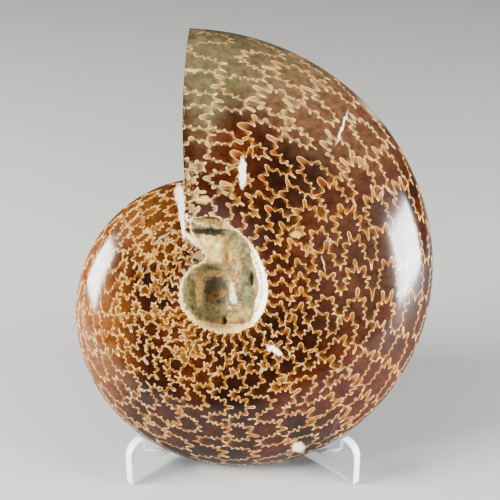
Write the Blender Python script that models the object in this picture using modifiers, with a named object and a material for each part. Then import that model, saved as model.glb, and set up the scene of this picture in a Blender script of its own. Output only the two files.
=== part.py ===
"""A polished fossil ammonite leaning back in a stand of two crossed clear plates.

Metres, +Z up. The stand rests on Z = 0, the ammonite's face looks towards -Y, and the origin is
under the middle of the whole. The shell is a logarithmic spiral coiled in one plane. It is lofted
as the front half, section by section, and mirrored across that plane.
"""
import math

import bmesh
import bpy
from mathutils import Matrix, Vector

MM = 0.001

# Where the parts stand
SPIRAL_CENTRE = Vector((-12.1, -6.15, 54.7)) * MM  # centre of the coil
LEAN = math.radians(24.0)                         # the coil's plane leans back from upright
CROSSING = Vector((-3.7, 0.0, 0.0)) * MM          # where the two plates cross

# The coil, in its own plane: angles from the right, anticlockwise, as the face is seen
VENTER_RADIUS = 88.6 * MM              # outer edge at the cut aperture
VENTER_END = math.radians(95.8)        # angle of that edge
VENTER_START = math.radians(-253.9)    # the same cut, one turn earlier
GROWTH = 0.1298                        # rise of the radius' logarithm for each radian
HALF_THICKNESS = 22.0 * MM             # greatest half thickness at the aperture
FULLEST = 0.66                         # share of the flank, from the outer edge, where it is fullest
VENTER_POWER = 0.53                    # 0.5 would be an ellipse, more is a keener outer edge
SHOULDER_DROP = 0.16                   # how far the flank falls again by the umbilical shoulder

# The sawn aperture: a nearly straight cut down the coil's plane
CUT_SIDE = -9.0 * MM                   # its sideways place at both ends
CUT_BOW = 1.5 * MM                     # how far it bows to the left between them
CUT_TOP = 88.1 * MM
CUT_FOOT = 26.0 * MM                   # where the last whorl's inner edge meets the one before
CUT_BEND = 9                           # power with which the sections bend towards the cut

# The umbilical shoulder, from the aperture's foot inwards: angle in degrees, radius in mm
SHOULDER = (
    (109.1, 27.5), (91.0, 27.3), (77.0, 24.2), (60.0, 21.6), (36.0, 18.5), (1.0, 16.2),
    (-26.0, 14.9), (-62.0, 12.4), (-94.0, 10.8), (-144.0, 11.0), (-178.0, 12.3),
    (-207.0, 13.0), (-232.0, 12.8), (-265.0, 11.0), (-288.0, 9.2), (-322.0, 6.6),
    (-360.0, 4.8), (-425.0, 3.6),
)
SHOULDER_START = -232.0                # angle of the shoulder one turn before the cut
STRIP_END = -410.0                     # the earlier whorl sinks into the filling by here
STRIP_SINK = 3                         # power with which it sinks
WALL_INSET = 1.3 * MM                  # the umbilical wall leans in by this
WALL_ONSET = 1.0 / 12.0                # share of a turn over which the lean begins, by the aperture
WALL_STEP = 0.01                       # share of a turn over which the wall's direction is taken
FLOOR_CENTRE = Vector((-4.6, -0.9)) * MM
FLOOR_HEIGHT = 4.2 * MM                # sandy filling, above the coil's plane
FLOOR_DIP = 1.2 * MM                   # its middle lies lower still

SECTIONS = 84                          # sections in the last turn
OUTER_STEPS = 8                        # steps from the outer edge to where the whorls overlap
INNER_STEPS = 5                        # steps from there to the shoulder
STRIP_SECTIONS = 45
FLOOR_RINGS = (0.78, 0.5, 0.24)
SAME_POINT = 0.001 * MM                # points closer than this are one
SEAM = 0.01 * MM                       # the two halves join within this
SHARP = math.radians(40.0)             # edges sharper than this stay sharp

# The stand's plates: places along a plate are measured from its front end
PLATE_THICKNESS = 3.0 * MM
PLATE_TURN = math.radians(45.0)        # each plate runs back from the front at this angle
PLATE_LENGTH = 100.0 * MM
FRONT_REACH = 53.4 * MM                # from the front end to the crossing
SLOT_GAP = 0.3 * MM                    # play on each side of the other plate in the slot
SLOT_HEIGHT = 14.0 * MM                # where the two slots meet
PRONG_HEIGHT = 16.0 * MM
PRONG_WIDTH = 6.3 * MM
LIP_HEIGHT = 11.0 * MM                 # seat height just behind the prong
SEAT_HEIGHT = 4.2 * MM                 # the seat's flat, under the shell's rim
SEAT_FROM = 18.0 * MM
RAMP_REACH = 46.0 * MM                 # a point of the ramp that the shell's back leans on
RAMP_HEIGHT = 17.75 * MM
RAMP_SLOPE = 1.31
ARM_TIP_REACH = 79.5 * MM
ARM_WIDTH = 9.0 * MM
HEEL_HEIGHT = 14.0 * MM                # the upright rear end
PRONG_ROUND = 5.0 * MM
LIP_ROUND = 1.0 * MM
SEAT_ROUND = 4.0 * MM
ARM_ROUND = 3.8 * MM
HEEL_ROUND = 8.0 * MM
FOOT_ROUND = 0.6 * MM
ARC_STEPS = 6

SHELL_COLOUR = (0.16, 0.045, 0.022, 1.0)
SHELL_ROUGHNESS = 0.12
CLEAR_COLOUR = (0.93, 0.95, 0.95, 1.0)
CLEAR_ROUGHNESS = 0.05


def clear_scene():
    for obj in list(bpy.data.objects):
        bpy.data.objects.remove(obj, do_unlink=True)


def make_collection(name):
    collection = bpy.data.collections.new(name)
    bpy.context.scene.collection.children.link(collection)
    return collection


def make_material(name, colour, roughness, transmission=0.0):
    material = bpy.data.materials.new(name)
    material.use_nodes = True
    shader = material.node_tree.nodes["Principled BSDF"]
    shader.inputs["Base Color"].default_value = colour
    shader.inputs["Roughness"].default_value = roughness
    shader.inputs["Metallic"].default_value = 0.0
    shader.inputs["Transmission Weight"].default_value = transmission
    return material


def polar(angle, radius):
    return Vector((math.cos(angle), math.sin(angle))) * radius


def shoulder_point(angle_deg):
    """A point of the umbilical shoulder, on a smooth curve through its control points."""
    angle_deg = min(max(angle_deg, SHOULDER[-1][0]), SHOULDER[0][0])
    i = 0
    while angle_deg < SHOULDER[i + 1][0]:
        i += 1
    before, after = SHOULDER[max(i - 1, 0)], SHOULDER[min(i + 2, len(SHOULDER) - 1)]
    start, end = SHOULDER[i], SHOULDER[i + 1]
    span = end[0] - start[0]
    x = (angle_deg - start[0]) / span
    slope_start = (end[1] - before[1]) / (end[0] - before[0]) * span
    slope_end = (after[1] - start[1]) / (after[0] - start[0]) * span
    radius = (start[1] * (2 * x**3 - 3 * x**2 + 1) + slope_start * (x**3 - 2 * x**2 + x)
              + end[1] * (3 * x**2 - 2 * x**3) + slope_end * (x**3 - x**2))
    return polar(math.radians(angle_deg), radius * MM)


def cut_side(height):
    """Sideways place of the sawn aperture at a height in the coil's plane."""
    share = (CUT_TOP - height) / (CUT_TOP - CUT_FOOT)
    return CUT_SIDE - CUT_BOW * math.sin(math.pi * min(max(share, 0.0), 1.0))


def venter_angle(turn):
    """Angle of the outer edge: turn is 1 at the aperture and 0 one turn earlier."""
    return VENTER_START + (VENTER_END - VENTER_START) * turn


def venter_point(turn):
    angle = venter_angle(turn)
    return polar(angle, VENTER_RADIUS * math.exp(GROWTH * (angle - VENTER_END)))


def shoulder_at(turn):
    end = SHOULDER[0][0]
    return shoulder_point(SHOULDER_START + (end - SHOULDER_START) * turn)


def half_thickness(turn):
    return HALF_THICKNESS * math.exp(GROWTH * (venter_angle(turn) - VENTER_END))


def flank_profile(share):
    """Relative height of the flank, from the outer edge at 0 to the shoulder at 1."""
    if share < FULLEST:
        return (1.0 - (1.0 - share / FULLEST)**2)**VENTER_POWER
    return 1.0 - SHOULDER_DROP * ((share - FULLEST) / (1.0 - FULLEST))**2


def overlap_share():
    """Share of the first section's flank that lies outside the aperture's foot."""
    start, end = venter_point(0.0), shoulder_at(0.0)
    return (start.y - CUT_FOOT) / (start.y - end.y)


def flank_shares():
    """Shares of the flank at which its points lie, close together by the outer edge."""
    overlap = overlap_share()
    outer = [overlap * (1.0 - math.cos(0.5 * math.pi * i / OUTER_STEPS))
             for i in range(OUTER_STEPS)]
    inner = [overlap + (1.0 - overlap) * i / INNER_STEPS for i in range(INNER_STEPS + 1)]
    return outer + inner


def first_section(share):
    """Plan of the section at the cut, one turn earlier: along the cut, then to its shoulder."""
    start, end = venter_point(0.0), shoulder_at(0.0)
    height = start.y + (end.y - start.y) * share
    if height >= CUT_FOOT:
        return Vector((cut_side(height), height))
    below = (CUT_FOOT - height) / (CUT_FOOT - end.y)
    return Vector((cut_side(CUT_FOOT), CUT_FOOT)).lerp(end, below)


def last_section(share):
    """Plan of the section at the aperture, along the cut."""
    start, end = venter_point(1.0), shoulder_at(1.0)
    height = start.y + (end.y - start.y) * share
    return Vector((cut_side(height), height))


def flank_plan(turn, share):
    """Plan of a flank point: straight sections, bent towards the cut at the turn's two ends."""
    plan = venter_point(turn).lerp(shoulder_at(turn), share)
    first_bend = first_section(share) - venter_point(0.0).lerp(shoulder_at(0.0), share)
    last_bend = last_section(share) - venter_point(1.0).lerp(shoulder_at(1.0), share)
    return plan + first_bend * (1.0 - turn)**CUT_BEND + last_bend * turn**CUT_BEND


def lift(plan, height):
    """From the coil's plane to the shell's own frame: face towards -Y, up along Z."""
    return Vector((plan.x, -height, plan.y))


def build_ammonite(collection):
    bm = bmesh.new()
    shares = flank_shares()
    overlap_index = OUTER_STEPS
    last = len(shares) - 1

    def point(plan, height):
        return bm.verts.new(lift(plan, height))

    def quads(row_a, row_b):
        for i in range(len(row_a) - 1):
            corners = [row_a[i], row_b[i], row_b[i + 1], row_a[i + 1]]
            kept = [v for k, v in enumerate(corners) if v not in corners[:k]]
            if len(kept) > 2:
                bm.faces.new(kept)

    # the last turn's flank
    flank = []
    for j in range(SECTIONS + 1):
        turn = j / SECTIONS
        thick = half_thickness(turn)
        flank.append([point(flank_plan(turn, s), thick * flank_profile(s)) for s in shares])
    for j in range(SECTIONS):
        quads(flank[j], flank[j + 1])

    # plan of the foot of the umbilical wall, which leans in a little from the shoulder
    def wall_foot(turn):
        shoulder = shoulder_at(turn)
        ahead = shoulder_at(min(turn + WALL_STEP, 1.0)) - shoulder_at(turn - WALL_STEP)
        inward = Vector((-ahead.y, ahead.x)).normalized()
        return shoulder + inward * WALL_INSET * min(1.0, (1.0 - turn) / WALL_ONSET)

    # the earlier whorl where it is bare inside the umbilicus
    end_turn = (STRIP_END - SHOULDER_START) / (SHOULDER[0][0] - SHOULDER_START)
    inner_shares = shares[overlap_index:]
    strip = [flank[0][overlap_index:]]
    for k in range(1, STRIP_SECTIONS + 1):
        turn = end_turn * k / STRIP_SECTIONS
        outer, inner = wall_foot(1.0 + turn), shoulder_at(turn)
        bare = 1.0 - (k / STRIP_SECTIONS)**STRIP_SINK
        row = []
        for s in inner_shares:
            across = (s - inner_shares[0]) / (1.0 - inner_shares[0])
            height = half_thickness(turn) * flank_profile(s)
            height = FLOOR_HEIGHT + (height - FLOOR_HEIGHT) * bare
            row.append(point(outer.lerp(inner, across), height))
        strip.append(row)
        quads(row, strip[-2])

    # the umbilical wall above that strip
    strip_turns = [1.0 + end_turn * k / STRIP_SECTIONS for k in range(STRIP_SECTIONS + 1)]
    end_section = int(SECTIONS * strip_turns[-1])
    above = range(SECTIONS, end_section - 1, -1)
    stitch(bm, [flank[j][last] for j in above], [j / SECTIONS for j in above],
           [row[0] for row in strip], strip_turns)

    # the floor of the umbilicus: rings that shrink towards its middle
    strip_foot = []
    for k in range(STRIP_SECTIONS):
        turn = end_turn * k / STRIP_SECTIONS
        strip_foot.append(point(wall_foot(turn), FLOOR_HEIGHT))
    strip_foot.append(strip[-1][-1])
    for k in range(STRIP_SECTIONS):
        wall = [strip[k][-1], strip_foot[k], strip_foot[k + 1], strip[k + 1][-1]]
        bm.faces.new(wall if k < STRIP_SECTIONS - 1 else wall[:3])
    outer_foot = [strip_foot[0]]
    for j in range(1, end_section + 1):
        outer_foot.append(point(wall_foot(j / SECTIONS), FLOOR_HEIGHT))
    for j in range(end_section):
        bm.faces.new((flank[j][last], flank[j + 1][last], outer_foot[j + 1], outer_foot[j]))
    bm.faces.new((flank[end_section][last], strip[-1][0], outer_foot[-1]))

    loop = strip_foot[::-1] + outer_foot[1:] + strip[-1][:-1]
    build_floor(bm, loop)

    # the sawn aperture face, ruled from the last section's edge straight back to the coil's plane
    aperture = flank[SECTIONS]
    step = flank[0][:overlap_index + 1]
    upper = [v for v in aperture if v.co.z > step[0].co.z + CUT_BOW]
    middle = [upper[0]] + [point(Vector((v.co.x, v.co.z)), 0.0) for v in upper[1:]]
    quads(upper, middle)
    lower = aperture[len(upper) - 1:]
    under = [middle[-1]] + step
    stitch(bm, lower, [v.co.z for v in lower], under, [v.co.z for v in under])

    bmesh.ops.remove_doubles(bm, verts=bm.verts, dist=SAME_POINT)
    bmesh.ops.recalc_face_normals(bm, faces=bm.faces)
    if sum(f.normal.y * f.calc_area() for f in bm.faces) > 0.0:
        bmesh.ops.reverse_faces(bm, faces=bm.faces)
    mesh = bpy.data.meshes.new("ammonite")
    bm.to_mesh(mesh)
    bm.free()
    mesh.shade_smooth()
    mesh.set_sharp_from_angle(angle=SHARP)
    obj = bpy.data.objects.new("ammonite", mesh)
    collection.objects.link(obj)
    mirror = obj.modifiers.new("other half", "MIRROR")
    mirror.use_axis = (False, True, False)
    mirror.merge_threshold = SEAM
    obj.location = SPIRAL_CENTRE
    obj.rotation_euler = (-LEAN, 0.0, 0.0)
    mesh.materials.append(make_material("polished shell", SHELL_COLOUR, SHELL_ROUGHNESS))
    return obj


def stitch(bm, row_a, keys_a, row_b, keys_b):
    """Triangles between two rows of points, stepping along both in the order of falling keys."""
    i = j = 0
    while i < len(row_a) - 1 or j < len(row_b) - 1:
        step_a = j == len(row_b) - 1
        if i < len(row_a) - 1 and j < len(row_b) - 1:
            step_a = keys_a[i + 1] >= keys_b[j + 1]
        if step_a:
            corners = (row_a[i], row_a[i + 1], row_b[j])
            i += 1
        else:
            corners = (row_a[i], row_b[j + 1], row_b[j])
            j += 1
        if len(set(corners)) == 3:
            bm.faces.new(corners)


def build_floor(bm, loop):
    """The sandy floor inside a closed loop of points, dished towards its middle."""
    ring = loop
    for scale in FLOOR_RINGS:
        inner = []
        for v in loop:
            plan = FLOOR_CENTRE.lerp(Vector((v.co.x, v.co.z)), scale)
            height = FLOOR_HEIGHT - FLOOR_DIP * (1.0 - scale)
            inner.append(bm.verts.new(lift(plan, height)))
        for k in range(len(loop)):
            after = (k + 1) % len(loop)
            bm.faces.new((ring[k], ring[after], inner[after], inner[k]))
        ring = inner
    middle = bm.verts.new(lift(FLOOR_CENTRE, FLOOR_HEIGHT - FLOOR_DIP))
    for k in range(len(loop)):
        bm.faces.new((ring[k], ring[(k + 1) % len(loop)], middle))


def rounded(corners):
    """A closed outline from (point, radius) corners, each rounded by an arc."""
    points = []
    for i, (corner, radius) in enumerate(corners):
        if radius == 0.0:
            points.append(corner)
            continue
        to_before = (corners[i - 1][0] - corner).normalized()
        to_after = (corners[(i + 1) % len(corners)][0] - corner).normalized()
        half = to_before.angle(to_after) / 2.0
        centre = corner + (to_before + to_after).normalized() * radius / math.sin(half)
        start = corner + to_before * radius / math.tan(half) - centre
        sweep = start.angle_signed(corner + to_after * radius / math.tan(half) - centre)
        for k in range(ARC_STEPS + 1):
            turned = start.copy()
            turned.rotate(Matrix.Rotation(-sweep * k / ARC_STEPS, 2))
            points.append(centre + turned)
    return points


def ramp_height(reach):
    return RAMP_HEIGHT + (reach - RAMP_REACH) * RAMP_SLOPE


def plate_outline(slot_from_top):
    """The plate's outline, front end first, anticlockwise from its lower front corner."""
    half_slot = PLATE_THICKNESS / 2.0 + SLOT_GAP
    slot = (FRONT_REACH - half_slot, FRONT_REACH + half_slot)
    seat_to = RAMP_REACH - (RAMP_HEIGHT - SEAT_HEIGHT) / RAMP_SLOPE
    tip = ramp_height(ARM_TIP_REACH)
    bottom_slot = [
        ((slot[0], 0.0), 0.0), ((slot[0], SLOT_HEIGHT + SLOT_GAP / 2.0), 0.0),
        ((slot[1], SLOT_HEIGHT + SLOT_GAP / 2.0), 0.0), ((slot[1], 0.0), 0.0)]
    top_slot = [
        ((slot[1], ramp_height(slot[1])), 0.0), ((slot[1], SLOT_HEIGHT - SLOT_GAP / 2.0), 0.0),
        ((slot[0], SLOT_HEIGHT - SLOT_GAP / 2.0), 0.0), ((slot[0], ramp_height(slot[0])), 0.0)]
    corners = [((0.0, 0.0), FOOT_ROUND)]
    corners += [] if slot_from_top else bottom_slot
    corners += [
        ((PLATE_LENGTH, 0.0), FOOT_ROUND),
        ((PLATE_LENGTH, HEEL_HEIGHT), HEEL_ROUND),
        ((ARM_TIP_REACH + ARM_WIDTH, tip), ARM_ROUND),
        ((ARM_TIP_REACH, tip), ARM_ROUND)]
    corners += top_slot if slot_from_top else []
    corners += [
        ((seat_to, SEAT_HEIGHT), SEAT_ROUND),
        ((SEAT_FROM, SEAT_HEIGHT), SEAT_ROUND),
        ((PRONG_WIDTH, LIP_HEIGHT), LIP_ROUND),
        ((PRONG_WIDTH, PRONG_HEIGHT), LIP_ROUND),
        ((0.0, PRONG_HEIGHT), PRONG_ROUND)]
    return rounded([(Vector(place), radius) for place, radius in corners])


def build_plate(collection, name, turn, slot_from_top, material):
    curve = bpy.data.curves.new(name, "CURVE")
    curve.dimensions = "2D"
    curve.fill_mode = "BOTH"
    curve.extrude = PLATE_THICKNESS / 2.0
    points = plate_outline(slot_from_top)
    spline = curve.splines.new("POLY")
    spline.points.add(len(points) - 1)
    for target, point in zip(spline.points, points):
        target.co = (point.x - FRONT_REACH, point.y, 0.0, 1.0)
    spline.use_cyclic_u = True
    curve.materials.append(material)
    obj = bpy.data.objects.new(name, curve)
    collection.objects.link(obj)
    obj.location = CROSSING
    obj.rotation_euler = (math.radians(90.0), 0.0, turn)
    return obj


def main():
    clear_scene()
    collection = make_collection("fossil ammonite")
    build_ammonite(collection)
    clear = make_material("clear plate", CLEAR_COLOUR, CLEAR_ROUGHNESS, transmission=1.0)
    build_plate(collection, "stand_plate_left", PLATE_TURN, True, clear)
    build_plate(collection, "stand_plate_right", math.pi - PLATE_TURN, False, clear)


main()
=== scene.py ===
"""Looks of a polished fossil ammonite that leans back in a stand of two clear plates.

Lengths are in millimetres until a mesh is made, and in metres from there. The shell is worked
out in its coil's plane: u to the right and v up as the face is seen, and height off that plane.
"""

import math

import bmesh
import bpy
import numpy as np
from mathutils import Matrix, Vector, kdtree, noise
from mathutils.bvhtree import BVHTree
from mathutils.geometry import delaunay_2d_cdt


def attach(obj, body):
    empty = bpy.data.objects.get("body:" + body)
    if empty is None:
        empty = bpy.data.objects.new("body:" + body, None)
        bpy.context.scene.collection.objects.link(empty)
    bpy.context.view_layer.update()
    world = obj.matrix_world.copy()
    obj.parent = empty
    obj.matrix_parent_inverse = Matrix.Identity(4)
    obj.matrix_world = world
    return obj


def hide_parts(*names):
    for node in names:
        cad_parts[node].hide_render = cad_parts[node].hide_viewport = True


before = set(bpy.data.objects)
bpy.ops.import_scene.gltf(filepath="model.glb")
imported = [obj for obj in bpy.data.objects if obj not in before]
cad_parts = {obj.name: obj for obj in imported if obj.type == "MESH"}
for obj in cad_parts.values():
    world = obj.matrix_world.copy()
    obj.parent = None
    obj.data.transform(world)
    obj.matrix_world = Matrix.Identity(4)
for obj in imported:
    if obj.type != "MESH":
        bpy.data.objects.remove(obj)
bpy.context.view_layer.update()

MM = 0.001
COIL_CENTRE = np.array((-12.1, -6.15, 54.7))
LEAN = math.radians(24.0)

# The coil, as the solid has it
VENTER_RADIUS = 88.5           # a little under the solid's, so that the curve stays within its facets
VENTER_END = math.radians(95.8)
VENTER_START = math.radians(-253.9)
GROWTH = 0.1298
HALF_THICKNESS = 22.0
FULLEST = 0.66
VENTER_POWER = 0.53
SHOULDER_DROP = 0.16
CUT_SIDE = -9.0
CUT_BOW = 1.5
CUT_TOP = 88.1
CUT_FOOT = 26.0
CUT_BEND = 9                   # power with which the sections bend towards the cut
SHOULDER = np.array((
    (109.1, 27.5), (91.0, 27.3), (77.0, 24.2), (60.0, 21.6), (36.0, 18.5), (1.0, 16.2),
    (-26.0, 14.9), (-62.0, 12.4), (-94.0, 10.8), (-144.0, 11.0), (-178.0, 12.3),
    (-207.0, 13.0), (-232.0, 12.8),
))
SHOULDER_INSIDE = (-265.0, 11.0)   # where the shoulder goes on, hidden: it sets the slope there

# How finely each face of the shell is made, in mm
FRONT_SPACING = 0.57
BACK_SPACING = 1.1
RIM_SPACING = 0.8
CUT_SPACING = 0.6
JOIN_SPACING = 0.5             # along the earlier whorl, where the aperture meets it
SHOULDER_SPACING = 0.7
APERTURE_SPACING = 1.2
SUTURE_TOLERANCE = 0.045 / 0.56    # of the spacing: how far a suture's edges may leave its curve
SUTURE_STEP = 1.25             # of the spacing: longest edge along a suture
LATTICE_SHAKE = 0.12           # of the spacing
LATTICE_CLEARANCE = 0.42       # of the spacing: how far the lattice stays off the lines
EDGE_STEP = 0.05               # between the points that distances to an edge are taken from
SUTURE_SAMPLE = 0.12           # the same, along a suture
MERGE = 3e-6                   # in metres
SHARP = math.radians(38.0)
RAY_HEIGHT = 30.0              # the solid is read from this far above the coil's plane
FILLING_GRAIN = 0.42           # height of the filling's unevenness
FILLING_SCALE = 0.30
SHELL, FILLING, SAWN = 0, 1, 2     # material slots of the fossil

# Hollows of the umbilicus: place in the coil's plane, half widths, depth
UMBILICUS_HOLLOWS = (
    ((11.2, 6.0), (0.9, 2.6), 1.3), ((-1.5, 1.2), (4.6, 5.4), 1.5), ((-0.2, -0.4), (1.6, 1.2), 0.7),
    ((-1.6, 21.7), (6.6, 0.8), 1.6), ((8.8, 1.0), (1.2, 3.0), 0.5), ((2.5, -9.0), (0.6, 2.0), 1.2),
    ((3.4, 13.6), (0.7, 3.4), 0.5), ((-9.0, -0.6), (1.4, 5.0), 0.6), ((5.4, 18.6), (2.4, 1.0), 0.6),
)
# Where polished shell reaches in over the earlier whorl, in the coil's plane
POLISHED_EDGE = np.array(((-8.75, 22.3), (-7.4, 19.4), (-6.4, 17.8), (-4.4, 15.3), (-3.5, 13.2),
                          (-5.0, 11.6), (-7.9, 10.1)))
POLISHED_FROM = (-8.9, 10.2)   # the stretch of the umbilicus's edge that this replaces
POLISHED_TO = (-7.0, 22.2)

# The laid-out faces, for baking
BAKE_LOW = np.array((-76.0, -74.0))
BAKE_HIGH = np.array((92.0, 102.0))
APERTURE_SCALE = 0.5
APERTURE_CORNER = (-62.0, 66.0)

# The sutures: widths of their saddles and lobes, from the umbilicus to the outer edge
SUTURES = 32
ELEMENT_WIDTHS = (0.024, 0.032, 0.042, 0.05, 0.056, 0.066, 0.07, 0.082, 0.08, 0.088, 0.084, 0.09,
                  0.084, 0.086, 0.076)
ELEMENT_SWING = (0.8, 1.0, 1.2, 1.25, 1.3) + 10 * (1.45,)
FINGERS = (1, 1, 3, 2, 3, 3, 4, 4, 5, 4, 6, 5, 6, 5, 6)
FINGER_SWING = (0.6, 0.7, 1.1, 1.1, 1.3, 1.25, 1.4, 1.35) + 3 * (1.5, 1.4) + (1.5,)
SQUARENESS = 2.2               # how parallel the sides of a finger are
KEENNESS = 0.35                # fingers are rounder forwards than backwards
LEAST_ADVANCE = 0.14           # of a leaf's line: less would fold it over itself
BLUR = 1.2                     # how far the glow inside a leaf looks round itself
STRETCH = 2.1                  # most that a leaf is lengthened to fill its room
FILL = 1.32                    # leaf height, in spaces between sutures


# The coil

def venter(turn):
    """Outer edge: turn is 1 at the aperture and 0 one turn earlier."""
    angle = VENTER_START + (VENTER_END - VENTER_START) * turn
    radius = VENTER_RADIUS * np.exp(GROWTH * (angle - VENTER_END))
    return np.stack((radius * np.cos(angle), radius * np.sin(angle)), -1)


def shoulder(turn):
    """Umbilical shoulder, on a smooth curve through its control points."""
    angles, radii = SHOULDER[::-1, 0], SHOULDER[::-1, 1]
    slopes = np.empty(len(angles))
    slopes[1:-1] = (radii[2:] - radii[:-2]) / (angles[2:] - angles[:-2])
    slopes[0] = (SHOULDER_INSIDE[1] - radii[1]) / (SHOULDER_INSIDE[0] - angles[1])
    slopes[-1] = (radii[-1] - radii[-2]) / (angles[-1] - angles[-2])
    angle = np.clip(angles[0] + (angles[-1] - angles[0]) * turn, angles[0], angles[-1])
    i = np.clip(np.searchsorted(angles, angle) - 1, 0, len(angles) - 2)
    span = angles[i + 1] - angles[i]
    x = (angle - angles[i]) / span
    radius = (radii[i] * (2 * x**3 - 3 * x**2 + 1) + slopes[i] * span * (x**3 - 2 * x**2 + x)
              + radii[i + 1] * (3 * x**2 - 2 * x**3) + slopes[i + 1] * span * (x**3 - x**2))
    angle = np.radians(angle)
    return np.stack((radius * np.cos(angle), radius * np.sin(angle)), -1)


def half_thickness(turn):
    angle = VENTER_START + (VENTER_END - VENTER_START) * turn
    return HALF_THICKNESS * np.exp(GROWTH * (angle - VENTER_END))


def flank_profile(share):
    share = np.clip(share, 0.0, 1.3)
    rise = np.clip(1.0 - (1.0 - share / FULLEST)**2, 0.0, 1.0)**VENTER_POWER
    fall = 1.0 - SHOULDER_DROP * ((share - FULLEST) / (1.0 - FULLEST))**2
    return np.where(share < FULLEST, rise, fall)


def cut_side(height):
    share = np.clip((CUT_TOP - height) / (CUT_TOP - CUT_FOOT), 0.0, 1.0)
    return CUT_SIDE - CUT_BOW * np.sin(math.pi * share)


def lerp(a, b, share):
    return a + (b - a) * np.asarray(share)[..., None]


def flank_plan(turn, share):
    """Place in the coil's plane of a point of the flank."""
    turn, share = np.asarray(turn, float), np.asarray(share, float)
    plan = lerp(venter(turn), shoulder(turn), share)
    one, zero = np.ones_like(share), np.zeros_like(share)
    first_plain = lerp(venter(zero), shoulder(zero), share)
    last_plain = lerp(venter(one), shoulder(one), share)
    height = first_plain[..., 1]
    foot = np.array((cut_side(CUT_FOOT), CUT_FOOT))
    end = shoulder(zero)
    below = np.clip((CUT_FOOT - height) / (CUT_FOOT - end[..., 1]), 0.0, 1.0)
    first = np.where((height >= CUT_FOOT)[..., None],
                     np.stack((cut_side(height), height), -1), lerp(foot, end, below))
    last = np.stack((cut_side(last_plain[..., 1]), last_plain[..., 1]), -1)
    early = np.clip(1.0 - turn, 0.0, 1.0)**CUT_BEND
    late = np.clip(turn, 0.0, 1.0)**CUT_BEND
    return plan + (first - first_plain) * early[..., None] + (last - last_plain) * late[..., None]


FOOT_SHARE = float((venter(0.0)[1] - CUT_FOOT) / (venter(0.0)[1] - shoulder(0.0)[1]))


def roll_table():
    """How much longer the flank is than its plan, between each share and the overlap's."""
    share = np.linspace(0.0, 1.0, 4001)**2 * FOOT_SHARE
    height = flank_profile(share)
    step, rise = np.diff(share) * 3.0, np.diff(height)
    extra = np.sqrt(step**2 + rise**2) - step
    return share, np.concatenate((np.cumsum(extra[::-1])[::-1], (0.0,)))


ROLL_SHARES, ROLL_EXTRA = roll_table()


def flatten(turn, share):
    """The flank laid flat: its plan, let out round the outer edge, with a gap at the cut."""
    plan = flank_plan(turn, share)
    extra = half_thickness(turn) * np.interp(share, ROLL_SHARES, ROLL_EXTRA)
    radius = np.linalg.norm(plan, axis=-1)
    flat = plan * (1.0 + extra / radius)[..., None]
    near_cut = np.clip(1.0 - turn / 0.08, 0.0, 1.0)**2
    rise = np.clip((plan[..., 1] - 10.0) / (CUT_FOOT - 10.0), 0.0, 1.0)
    gap = (0.25 + 0.06 * np.clip(plan[..., 1] - CUT_FOOT, 0.0, None)) * near_cut * rise
    flat[..., 0] -= gap
    return flat


def place_on_flank(flat):
    """Turn and share of points of the flattened flank."""
    turns, roots = np.meshgrid(np.linspace(0, 1, 500), np.linspace(0, 1, 60), indexing="ij")
    turns, roots = turns.ravel(), roots.ravel()
    samples = flatten(turns, roots**2)
    tree = kdtree.KDTree(len(samples))
    for i, p in enumerate(samples):
        tree.insert((p[0], p[1], 0.0), i)
    tree.balance()
    start = np.array([tree.find((p[0], p[1], 0.0))[1] for p in flat])
    turn, root = turns[start].copy(), roots[start].copy()
    step = 1e-5
    for _ in range(8):
        now = flatten(turn, root**2)
        by_turn = (flatten(turn + step, root**2) - now) / step
        by_root = (flatten(turn, (root + step)**2) - now) / step
        miss = flat - now
        det = by_turn[:, 0] * by_root[:, 1] - by_turn[:, 1] * by_root[:, 0]
        det = np.where(np.abs(det) < 1e-9, 1e-9, det)
        d_turn = (miss[:, 0] * by_root[:, 1] - miss[:, 1] * by_root[:, 0]) / det
        d_root = (by_turn[:, 0] * miss[:, 1] - by_turn[:, 1] * miss[:, 0]) / det
        turn = np.clip(turn + np.clip(d_turn, -0.02, 0.02), 0.0, 1.0)
        root = np.clip(root + np.clip(d_root, -0.1, 0.1), 0.0, 1.0)
    return turn, root**2


def in_world(plan, height):
    """From the coil's plane to the object's frame, in metres."""
    u, v = plan[:, 0], plan[:, 1]
    cos, sin = math.cos(LEAN), math.sin(LEAN)
    away = np.stack((u, v * sin - height * cos, v * cos + height * sin), -1)
    return (away + COIL_CENTRE) * MM


# The sutures

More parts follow.
